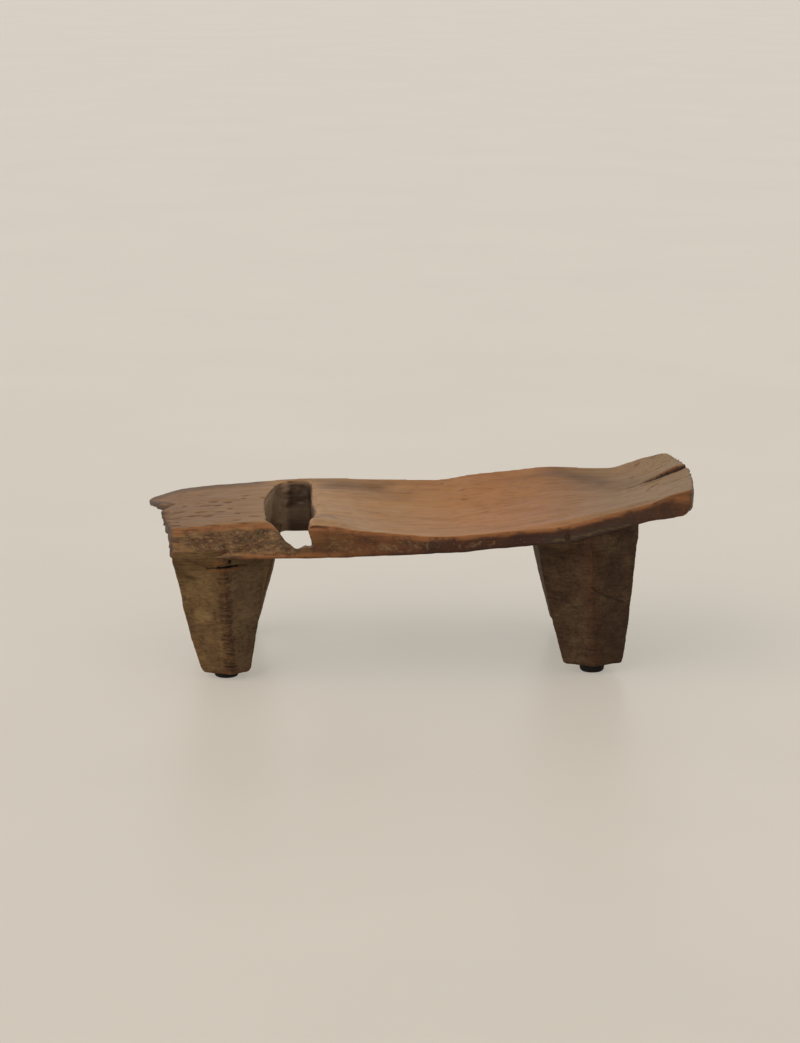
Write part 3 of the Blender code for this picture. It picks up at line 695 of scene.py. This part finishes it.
for name, leg in legs.items():
    points, normals = skin_of(leg)
    row = LEG_ROWS[name]
    facing = fade(row.faces * normals[:, 1], 0.15, 0.4)
    strokes = [(np.array(path) / 1000, width / 1000, push / 1000, stained, worn)
               for path, width, push, stained, worn in LEG_STROKES[name]]
    nicked_to, bite = (row.shoulder - 0.014, 1.0) if name.endswith("left") else (0.098, 0.45)
    for z in np.arange(row.lift + 0.005, nicked_to, NICK_SPACING):
        ridge, right, left = leg_corners(row, np.array([z]))[0][0, [0, 1, 4]]
        nicks = (ridge, 0.008, 0.0016), (left + 0.004, 0.005, 0.0011), (right - 0.004, 0.005, 0.0008)
        for middle, reach, deepest in nicks:
            start = (middle - chance.uniform(0.2, 1.0) * reach, z + chance.uniform(-0.001, 0.001))
            end = (middle + chance.uniform(0.2, 1.0) * reach, start[1] + chance.uniform(-0.001, 0.001))
            depth = bite * chance.uniform(0.1, 1.0) * deepest
            # Deeper nicks get more painted shade
            strokes.append(([start, end], NICK_WIDTH, -depth, 360 * depth, 0.0))
    facets = rough(points, (0.026, 0.026, 0.022), 11 + len(name), 2) * 0.0008
    fibres = rough(points, (0.02, 0.02, 0.0035), 12 + len(name), 3) * 0.0003
    points += normals * (facets + fibres)[:, None]
    # dark gathers the painted shade of each cut
    dark, rubbed = np.zeros(len(points)), np.zeros(len(points))
    for path, width, push, stained, worn in strokes:
        covered = side_stroke(points, path, width) * facing
        points += normals * (covered * push)[:, None]
        dark, rubbed = np.maximum(dark, covered * stained), np.maximum(rubbed, covered * worn)
    move_points(leg, points)
    leg_marks[name] = {"stain": dark, "worn": rubbed}
    print(name, "carved with", len(strokes), "strokes")

# %% [markdown]
# ## Where the wood is worn, raw, stained or painted with shade
#
# A finish should know the surface it lies on: rims are rubbed to a warm orange, hollows are darker, and torn
# faces are open and fibrous. Shade is painted into the split, the slot, creases, cuts and pin holes. A few
# values are measured on each point and kept with the mesh, such as how far it stands proud of its
# surroundings and how far it faces up. The materials read them, so the wear follows the carving in any light
# and from any side.

# %% Measure the skin
def smoothed(piece, values, passes):
    """Each point's values averaged again and again with its neighbours'."""
    ends = np.empty(len(piece.data.edges) * 2, dtype=int)
    piece.data.edges.foreach_get("vertices", ends)
    a, b = ends.reshape(-1, 2).T
    size = len(piece.data.vertices)
    count = np.bincount(a, minlength=size) + np.bincount(b, minlength=size)
    for _ in range(passes):
        columns = [np.bincount(a, column[b], size) + np.bincount(b, column[a], size) for column in values.T]
        values = np.stack(columns, axis=1) / count[:, None]
    return values


def measure_skin(piece, **marks):
    """Keeps how proud and how upturned each point is, and the marks given, as attributes of the mesh."""
    points, normals = skin_of(piece)
    proud = ((points - smoothed(piece, points, passes=24)) * normals).sum(axis=1) * 1000
    marks["proud_mm"] = smoothed(piece, proud[:, None], passes=1)[:, 0]
    marks["faces_up"] = smoothed(piece, normals, passes=3)[:, 2]
    for name, values in marks.items():
        layer = piece.data.attributes.new(name, "FLOAT", "POINT")
        layer.data.foreach_set("value", values.astype(np.float32))
    return marks


for name, leg in legs.items():
    row, points = LEG_ROWS[name], points_of(leg)
    xs, ys = leg_corners(row, points[:, 2])
    inward = np.clip(row.faces * (ys[:, 1] - points[:, 1]), 0, 1)
    to_ridge = np.abs(points[:, 0] - xs[:, 0]) + 2 * inward
    right_face = fade(points[:, 0] - xs[:, 0], -0.001, 0.004) * (row.faces < 0)
    marks = measure_skin(leg, ridge=fade(to_ridge, 0.009, 0.004), right_face=right_face,
                         # The rear legs are marked for painted light, which makes their colour paler
                         paler=np.full(len(points), float(row.faces > 0)), **leg_marks[name])
    print(name, "stands proud by up to", round(float(marks["proud_mm"].max()), 2), "mm")

# %% Mark the seat's edges and torn faces
points, normals = skin_of(seat)
x, y, z = points.T
facing_x, facing_y, facing_z = normals.T
across = np.clip(y / WIDTH + 0.5, 0, 1)
below, above = seat_top(x, across) - z, z - seat_under(x, across)
behind = y - np.interp(x, SPLIT_X, SPLIT_Y)
ragged = rough(points, (0.02, 0.012, 0.008), 21)
front = fade(-facing_y, 0.2, 0.5) * fade(y, -0.1, -0.112)
rear = fade(facing_y, 0.2, 0.5) * fade(y, 0.1, 0.112)
raw_end = 0.7 * fade(x - np.interp(y, TORN_Y, TORN_X) + 0.003 * ragged, 0.006, 0.001)
raw_block = front * fade(x + 0.006 * ragged, -0.1385, -0.1445) * fade(below + 0.003 * ragged, 0.0055, 0.0085)
raw_block *= fade(above + 0.004 * ragged, 0.0035, 0.009) * fade(x + 0.01 * ragged, -0.268, -0.252)
slot_wall = window(x, -0.188, -0.182, -0.118, -0.112) * window(y, -0.118, -0.11, 0.131, 0.136)
slot_wall *= fade(facing_z, 0.8, 0.5) * fade(below, 0.001, 0.004)
rim_edge = np.maximum(fade(y, -0.1255, -0.1325), 0.6 * fade(y, 0.129, 0.136)) * fade(facing_z, 0.9, 0.72)
rim_edge *= fade(below + 0.002 * ragged, 0.0065, 0.0025) * mix(1, 0.5, fade(x, 0.235, 0.275))
block_edge = front * fade(x, -0.14, -0.16) * fade(below + 0.002 * ragged, 0.0075, 0.0045)
block_edge *= fade(below, -0.001, 0.001)
bottom_strip = front * fade(above + 0.001 * ragged, 0.0068, 0.0042) * window(x, -0.21, -0.19, -0.12, -0.05)
knob_face = front * window(x, -0.133, -0.127, -0.12, -0.09) * window(below, -0.001, 0.002, 0.004, 0.016)
corner_patch = front * side_stroke(points, [(0.277, 0.206), (0.287, 0.206)], 0.008)
split_wall = fade(x, 0.262, 0.28) * fade(np.abs(behind - 0.0015), 0.004, 0.002)
split_wall *= fade(below, 0.0004, -0.0008) * fade(facing_z, 0.9, 0.75)
worn = np.max([rim_edge, 0.85 * block_edge, 0.9 * bottom_strip, 0.55 * knob_face, 0.9 * corner_patch,
               0.8 * split_wall], axis=0)
print("raw wood on", int((raw_block > 0.5).sum()), "points, worn edges on", int((worn > 0.5).sum()))

# %% Mark scratches and dirt on the seat's sides
scribbled = front * window(x, -0.118, -0.105, 0.008, 0.03)
scribbled *= fade(below, 0.003, 0.006) * fade(above, 0.001, 0.004)
leg_dirt = np.maximum(front, rear) * window(x, 0.118, 0.14, 0.215, 0.246) * fade(above, 0.014, 0.004)
# Pale score lines over the right leg, and scribbles along the front rim: X and Z in millimetres
SCORES = [
    [(139.5, 158.5), (148, 160), (158, 159)], [(143, 160.5), (158, 161)],
    [(160, 163), (170, 165), (181, 165.5)], [(162, 160.5), (179, 158)],
    [(179, 167), (193, 171), (209.5, 173), (225.5, 177)],
]
SCRIBBLES = [
    [(-102, 164.5), (-99.5, 160), (-97, 154.5)],
    [(-104, 154.5), (-100.5, 159), (-95, 156.5), (-93, 152)],
    [(-93, 162), (-87.5, 161), (-79.5, 158.5)], [(-86.5, 152.5), (-83, 149.5), (-78.5, 149)],
    [(-50, 153), (-47, 158), (-46, 151.5), (-42.5, 156.5), (-41.5, 150), (-38, 156), (-37, 149.5)],
    [(-24, 160), (-30.5, 158), (-33, 154.5), (-30.5, 150.5), (-26, 148)],
    [(-18.5, 160.5), (-15, 157), (-14.5, 153.5), (-17.5, 149.5)], [(-11, 156), (-7.5, 151.5)],
    [(2.5, 157.5), (3.5, 150.5)], [(37.5, 155.5), (39.5, 151.5)], [(46.5, 153), (54, 158)],
    [(53, 153.5), (62.5, 160)], [(71.5, 154.5), (76, 158.5)],
]
scored = np.zeros(len(points))
for paths, width, amount in ((SCORES, 0.0013, 0.34), (SCRIBBLES, 0.0015, 0.62)):
    for path in paths:
        drawn = front * side_stroke(points, np.array(path) / 1000, width)
        scored = np.maximum(scored, amount * drawn)
print("scored", int((scored > 0.3).sum()), "points")

# %% Mark stains and painted shade on the seat
SMUDGES = [
    # path on the seat's top and brush width in millimetres, and how dark it is
    ([(-95, 114), (-70, 112), (-48, 110)], 35, 0.6),
    ([(-110, 127), (-30, 122)], 22, 0.35),
    ([(165, 118), (189, 100), (213, 71)], 34, 0.45),
    ([(180, 100), (250, 30)], 50, 0.25),
    ([(-10, 90), (6, 127)], 2.6, 0.55),
    ([(31, 122), (32, 122)], 3.2, 0.9),
    ([(52, 92), (55, 92)], 3.6, 0.8),
    ([(54, 62), (56, 58)], 4.5, 0.6),
    ([(70, -4), (78, -3)], 3.6, 0.6),
    ([(-300, 128), (-190, 130)], 24, 0.58),
    ([(-150, 134.5), (-122, 134.5)], 6.5, 0.25),
    ([(-299, 68), (-305.5, 87), (-309.5, 105)], 9, 0.85),
    # Painted shade in the crease behind the knob: a dark line, and a soft band beside it
    ([(-119.5, -55), (-112, -46), (-102, -41), (-97.5, -52)], 5.8, 0.6),
    ([(-118, -40), (-105, -36)], 16, 0.2),
    (TEAR, 3.2, 0.85),
    ([(-119.5, 19.5), (-114.3, 25.3)], 3.6, 0.5),
    ([(-60, 90), (-20, 86)], 36, 0.26),
    ([(-30, 112), (50, 110), (120, 100)], 48, 0.13),
    ([(260, 25.5), (240, 27.5)], 3, 0.75),
    (SHORT_SPLIT, 2.2, 0.9),
]
stain = np.zeros(len(points))
for path, width, amount in SMUDGES:
    path = [on_top(px / 1000, py / 1000) for px, py in path]
    stain = np.maximum(stain, amount * stroke(points, path, width / 1000))
drawn_on = wavered(points)
for path in checks:
    stain = np.maximum(stain, (0.9 if path[0][0] < 0 else 0.5) * open_check(drawn_on, path))
# Painted shade deep inside the split, below the seat's top
painted_split_shade = fade(x, 0.254, 0.264) * fade(np.abs(behind), 0.004, 0.0018) * fade(below, -0.0012, 0.0004)
# Painted shade on the walls of the slot: on the left wall it grows towards the rear and the top, the right
# wall is shaded evenly, and the far wall is shaded most
left_wall_shade = slot_wall * fade(facing_x, 0.0, 0.4) * np.interp(z, [0.125, 0.16], [0.6, 1.0])
left_wall_shade *= np.interp(y, [-0.02, 0.04, 0.09, 0.115], [0.0, 0.05, 0.3, 0.6])
right_wall_shade = 0.9 * slot_wall * fade(-facing_x, 0.4, 0.8)
far_wall_shade = slot_wall * fade(x, -0.16, -0.146) * fade(y, 0.085, 0.098)
far_wall_shade *= np.interp(z, [0.124, 0.132, 0.142, 0.15, 0.158, 0.166], [1.0, 0.85, 0.8, 1.0, 1.0, 0.94])
notch_floor = 0.5 * window(x, -0.156, -0.15, -0.122, -0.118) * fade(y, -0.108, -0.113)
notch_floor *= fade(facing_z, 0.3, 0.6) * fade(below, 0.006, 0.01)
end_grain = 0.55 * fade(-facing_x, 0.3, 0.7) * fade(x, -0.262, -0.274)
# A painted shadow line under the knob's lip
crease_shadow = 0.75 * front * side_stroke(points, [(-0.1275, 0.1764), (-0.118, 0.1772), (-0.107, 0.1755)], 0.0026)
# Painted shade in the pin holes of the rim
pin_hole_shade = np.maximum(front, rear) * side_stroke(points, PIN_HOLE, PIN_HOLE_WIDTH)
# Stains and checks, the darker notch floor and end grain, and the painted shade in the split, the slot, the
# knob's crease and the pin holes
stains = [stain, painted_split_shade, left_wall_shade, right_wall_shade, far_wall_shade, notch_floor, end_grain, crease_shadow, pin_hole_shade]
marks = measure_skin(seat, raw=np.maximum(raw_end, raw_block), slot_wall=slot_wall, worn=worn,
                     scribbled=scribbled, scored=scored, leg_dirt=leg_dirt, stain=np.max(stains, axis=0))
print("stained", int((marks["stain"] > 0.3).sum()), "points")

# %% [markdown]
# The skin is finer than the smooth parts of the seat need. Decimate takes out the points that change the
# shape least, so the broken ends and splits keep theirs.

# %% Thin the seat's skin
SEAT_TRIANGLES = 190000
triangles = sum(len(face.vertices) - 2 for face in seat.data.polygons)
apply_modifier(seat, "DECIMATE", ratio=min(1.0, SEAT_TRIANGLES / triangles))
print("seat has", len(seat.data.polygons), "faces after thinning, from", triangles, "triangles")

# %% [markdown]
# ## Aged hardwood
#
# The wood is a pale, even tropical hardwood, hewn and then polished by use. It gives the eye fine fibres
# along X, a broad soft figure, and here and there an open check. The seat is rubbed to a warm tan that is
# greyer at both ends, its sides keep a dark red-brown patina with worn orange edges, and torn places are
# fibrous. Each finish is a stack of thin layers: a base colour, then wear, darker hollows, painted shade and
# streaks over it.

# %% A wood finish as a stack of layers
NOISES = [
    # name, size of the lumps along X, Y and Z in millimetres, turn about Y in degrees, and detail
    ("fibres", (60, 5, 1.6), 0, 3), ("figure", (180, 16, 16), 0, 4), ("checks", (22, 3.2, 2), 0, 1),
    ("patina", (30, 26, 26), 0, 5), ("lumps", (9, 6, 6), 0, 4), ("flecks", (3, 1.8, 1.8), 0, 2),
    ("rungs", (12, 2.2, 2.2), 0, 1), ("cuts_up", (8, 3, 0.9), 38, 2), ("cuts_down", (7, 3, 0.9), -28, 2),
]


def wood_finish(name, attributes, ramps, masks, products, layers, gloss, shine):
    """Makes masks of noises and attributes, and lays colours over each other through the masks. A layer is
    mixed in, unless it says that it multiplies."""
    material, tree, shader = new_material(name)
    place = add_node(tree, "TexCoord", out="Object")
    found = {"x": add_node(tree, "SeparateXYZ", {0: place})}
    wanted = {row[1] for row in ramps + masks} | {"patina", "fibres"}
    for noise_name, size, turn, detail in NOISES:
        if noise_name in wanted:
            lumps = {"Scale": [side / 1000 for side in size], "Rotation": (0, radians(turn), 0)}
            space = add_node(tree, "Mapping", {"Vector": place, **lumps}, vector_type="TEXTURE")
            found[noise_name] = add_node(tree, "TexNoise", {
                "Vector": space, "Scale": 1.0, "Detail": detail, "Roughness": 0.6})
    if "cells" in wanted:
        # Crazing like old leather: the borders of cells about 16 mm wide, bent by a finer noise
        bend = add_node(tree, "TexNoise", {"Vector": place, "Scale": 70, "Detail": 3}, out="Color")
        bent = add_node(tree, "VectorMath", {0: bend, 1: (0.02, 0.02, 0.02), 2: place},
                        operation="MULTIPLY_ADD")
        found["cells"] = add_node(tree, "TexVoronoi", {"Vector": bent, "Scale": 62}, "Distance",
                                  feature="DISTANCE_TO_EDGE")
    if "along" in wanted:
        # Colours change along the seat, and the patina makes the borders wander
        drift = add_node(tree, "Math", {0: found["patina"], 1: 0.1, 2: found["x"]}, operation="MULTIPLY_ADD")
        found["along"] = add_node(tree, "MapRange", {0: drift, 1: -0.262, 2: 0.362})
    for mark in attributes:
        found[mark] = add_node(tree, "Attribute", out="Fac", attribute_name=mark)
    for ramp_name, source, stops in ramps:
        found[ramp_name] = add_node(tree, "ValToRGB", {0: found[source]}, ramp=stops)
    for mask, source, low, high in masks:
        found[mask] = add_node(tree, "MapRange", {0: found[source], 1: low, 2: high},
                               interpolation_type="SMOOTHSTEP")
    for mask, first, second, strength in products:
        both = add_node(tree, "Math", {0: found[first], 1: found[second]}, operation="MULTIPLY")
        found[mask] = add_node(tree, "Math", {0: both, 1: strength}, operation="MULTIPLY")
    skin = found[ramps[0][0]]
    for mask, tint, *way in layers:
        over = found[tint] if tint in found else colour(tint)
        skin = add_node(tree, "Mix", {0: found[mask], 6: skin, 7: over}, out=2, data_type="RGBA",
                        blend_type=way[0] if way else "MIX")
    sheen = add_node(tree, "MapRange", {0: found["patina"], 1: 0.3, 2: 0.7, 3: gloss[0], 4: gloss[1]})
    bump = add_node(tree, "Bump", {"Height": found["fibres"], "Strength": 0.5, "Distance": 0.0006})
    fill_inputs(tree, shader, {"Base Color": skin, "Roughness": sheen, "Normal": bump,
                               "IOR": 1.5, "Specular IOR Level": shine})
    print(name, "has", len(tree.nodes), "nodes")
    return material


print("the wood has", len(NOISES), "noises")

# %% Seat wood
# Rubbed hardwood: warm tan with fine level fibres, a dark patina on the sides and orange where edges are worn
seat_wood = wood_finish(
    "polished_old_hardwood",
    attributes=["proud_mm", "faces_up", "raw", "slot_wall", "worn", "scribbled", "scored", "leg_dirt",
                "stain"],
    ramps=[
        ("top", "along", [(0.03, "7C5832"), (0.98, "826848"), (0.2, "8C6840"), (0.32, "A6815A"),
            (0.42, "A3784A"), (0.52, "A27242"), (0.65, "9D693A"), (0.75, "92653C"), (0.83, "856440")]),
        ("rim", "along", [(0.1, "6B5234"), (0.98, "57371F"), (0.3, "62401C"), (0.4, "643C1E"),
            (0.5, "3E200F"), (0.66, "3C1F0F"), (0.84, "3F2515")]),
        ("torn", "lumps", [(0.36, "3E2813"), (0.66, "755A38"), (0.47, "54381D"), (0.56, "634527")]),
        ("walls", "patina", [(0.35, "9C7E62"), (0.65, "C0A688")]),
    ],
    masks=[
        ("sides", "faces_up", 0.72, 0.4), ("streaks", "fibres", 0.6, 0.36),
        ("bands", "figure", 0.62, 0.38), ("blotches", "patina", 0.42, 0.66),
        # The first mask on the next line darkens the wood where its skin lies in a hollow
        ("hollowness", "proud_mm", -0.5, -2.2), ("chips", "checks", 0.59, 0.65),
        ("block_end", "x", -0.15, -0.25), ("raised_end", "x", 0.2, 0.28), ("rubbed", "lumps", 0.26, 0.5),
        ("pale", "flecks", 0.58, 0.7), ("up", "cuts_up", 0.6, 0.68), ("down", "cuts_down", 0.6, 0.68),
    ],
    products=[
        ("dark_side", "sides", "blotches", 0.62), ("wear", "worn", "rubbed", 0.9),
        ("open_checks", "chips", "block_end", 0.62), ("raised_checks", "chips", "raised_end", 0.35),
        ("scratches", "up", "scribbled", 0.36), ("soft_bands", "bands", "bands", 0.19),
        ("soft_streaks", "streaks", "streaks", 0.27), ("pale_raw", "pale", "raw", 0.35),
        ("raw_up", "up", "raw", 0.35), ("raw_down", "down", "raw", 0.35),
        ("darker_hollows", "hollowness", "hollowness", 0.8), ("orange_bits", "sides", "pale", 0.46),
    ],
    layers=[
        ("sides", "rim"), ("dark_side", "2C1812"), ("orange_bits", "80461E"), ("leg_dirt", "3A291C"),
        ("wear", "8A5830"), ("slot_wall", "walls"), ("raw", "torn"), ("pale_raw", "948058"),
        ("raw_up", "A08C64"), ("raw_down", "A08C64"), ("scratches", "9A8254"), ("scored", "7C6646"),
        ("soft_bands", "B09C88", "MULTIPLY"), ("soft_streaks", "9C8874", "MULTIPLY"),
        # The stain layer darkens stains and checks, and also paints shade into the split, the slot, the
        # knob's creases and the pin holes
        ("stain", "66584C", "MULTIPLY"), ("open_checks", "482A12"), ("raised_checks", "482A12"),
        ("darker_hollows", "5A4A3E", "MULTIPLY"),
    ],
    gloss=(0.52, 0.68), shine=0.28)
seat.data.materials.append(seat_wood)

# %% Leg wood
# Hewn hardwood, darkened by soil and hands: olive brown on the left, near black and crazed on the right, and
# red at the ridges
leg_wood = wood_finish(
    "hewn_old_hardwood",
    attributes=["proud_mm", "ridge", "right_face", "paler", "stain", "worn"],
    ramps=[
        ("olive", "patina", [(0.32, "543F2A"), (0.66, "775F40"), (0.5, "664F33")]),
        ("dark", "patina", [(0.32, "3C2A1E"), (0.66, "4F3E2D"), (0.5, "463426")]),
    ],
    masks=[
        ("right_side", "x", -0.1, 0.1), ("left_side", "x", 0.1, -0.1), ("edges", "proud_mm", 0.6, 1.6),
        # The first mask on the next line darkens the wood where its skin lies in a hollow
        ("hollowness", "proud_mm", -0.25, -1.1), ("streaks", "fibres", 0.6, 0.36),
        ("rubbed", "lumps", 0.34, 0.58), ("some", "patina", 0.5, 0.58), ("pale", "flecks", 0.58, 0.7),
        ("spots", "lumps", 0.5, 0.36), ("nicks", "rungs", 0.5, 0.4), ("pale_nicks", "rungs", 0.56, 0.66),
        ("seams", "cells", 0.07, 0), ("patches", "patina", 0.52, 0.64), ("up", "cuts_up", 0.6, 0.68),
    ],
    products=[
        ("wear", "edges", "rubbed", 0.75), ("red_ridge", "ridge", "rubbed", 0.5),
        ("soft_streaks", "streaks", "streaks", 0.35), ("scratches", "up", "some", 0.25),
        ("pale_flecks", "pale", "rubbed", 0.22), ("darker_hollows", "hollowness", "hollowness", 0.9),
        ("left_wear", "wear", "left_side", 1), ("right_wear", "wear", "right_side", 0.5),
        ("left_ridge", "ridge", "left_side", 1), ("ridge_nicks", "nicks", "left_ridge", 0.4),
        ("ridge_pale", "pale_nicks", "left_ridge", 0.36), ("soft_spots", "spots", "spots", 0.35),
        ("crazing", "seams", "right_side", 0.32), ("pale_patches", "patches", "right_side", 0.18),
        # Painted light lifts the rear legs' colour
        ("rear_painted_light", "paler", "paler", 0.4), ("greyed", "right_face", "right_face", 0.4),
    ],
    layers=[
        # The rear legs get a paler colour as painted light
        ("greyed", "54453A"), ("right_side", "dark"), ("rear_painted_light", "887056"),
        ("soft_spots", "8C7A68", "MULTIPLY"), ("pale_patches", "5E4E3C"), ("crazing", "20150D"),
        ("red_ridge", "4C2F20"), ("left_wear", "66422A"), ("right_wear", "523623"),
        ("ridge_pale", "7C5E40"), ("ridge_nicks", "2A1A10"), ("scratches", "7A6648"),
        ("pale_flecks", "7E6A4C"), ("worn", "7A4E2C"), ("soft_streaks", "94826E", "MULTIPLY"),
        # The stain layer is near-black painted shade in the slits, nicks, cracks and pin holes
        ("stain", "1A110B"), ("darker_hollows", "4A3C32", "MULTIPLY"),
    ],
    gloss=(0.66, 0.8), shine=0.1)
for leg in legs.values():
    leg.data.materials.append(leg_wood)

# %% [markdown]
# ## Rubber feet and iron
#
# The feet are black moulded rubber, dusty from the floor, each held by a zinc-plated screw and washer in its
# sole. Blackened iron pins hold the legs. Their CAD shapes are right, so they only get finishes: rubber is
# dull and dark with pale dust, zinc is a satin metal, and old iron is dark with rust.

# %% Rubber, zinc and iron
def speckled(name, dark_code, light_code, lump_mm, metallic, rough_low, rough_high, shine=0.5):
    """A finish with two colours in lumps of a real size, rougher where it is lighter."""
    material, tree, shader = new_material(name)
    place = add_node(tree, "TexCoord", out="Object")
    lumps = add_node(tree, "TexNoise", {"Vector": place, "Scale": 1000 / lump_mm, "Detail": 4})
    tint = add_node(tree, "ValToRGB", {0: lumps}, ramp=[(0.38, dark_code), (0.66, light_code)])
    gloss = add_node(tree, "MapRange", {0: lumps, 1: 0.35, 2: 0.65, 3: rough_low, 4: rough_high})
    bump = add_node(tree, "Bump", {"Height": lumps, "Strength": 0.3, "Distance": 0.0002})
    fill_inputs(tree, shader, {"Base Color": tint, "Roughness": gloss, "Normal": bump,
                               "Metallic": metallic, "Specular IOR Level": shine})
    return material


finishes = {
    "rubber_foot": speckled("moulded_black_rubber", "070505", "15110F", 2.5, 0.0, 0.6, 0.8, shine=0.2),
    "foot_washer": speckled("zinc_plated_washer", "8A8C8E", "B9BABC", 1.2, 1.0, 0.3, 0.45),
    "foot_screw": speckled("zinc_plated_screw", "808284", "AEB0B2", 1.0, 1.0, 0.28, 0.42),
    "leg_pin": speckled("rusted_iron", "16110E", "3A2418", 1.5, 0.6, 0.6, 0.85),
}
for name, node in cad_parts.items():
    for start, finish in finishes.items():
        if name.startswith(start):
            node.data.materials.clear()
            node.data.materials.append(finish)
print("finished", sum(name.startswith(tuple(finishes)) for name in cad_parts), "small pieces")

# %% [markdown]
# ## Put the pieces in place
#
# Each carved piece stands for one CAD node and rides on the stool's only body.

# %% Finish
for piece, node in [(seat, "seat")] + [(leg, name) for name, leg in legs.items()]:
    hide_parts(node)
    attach(piece, "root")
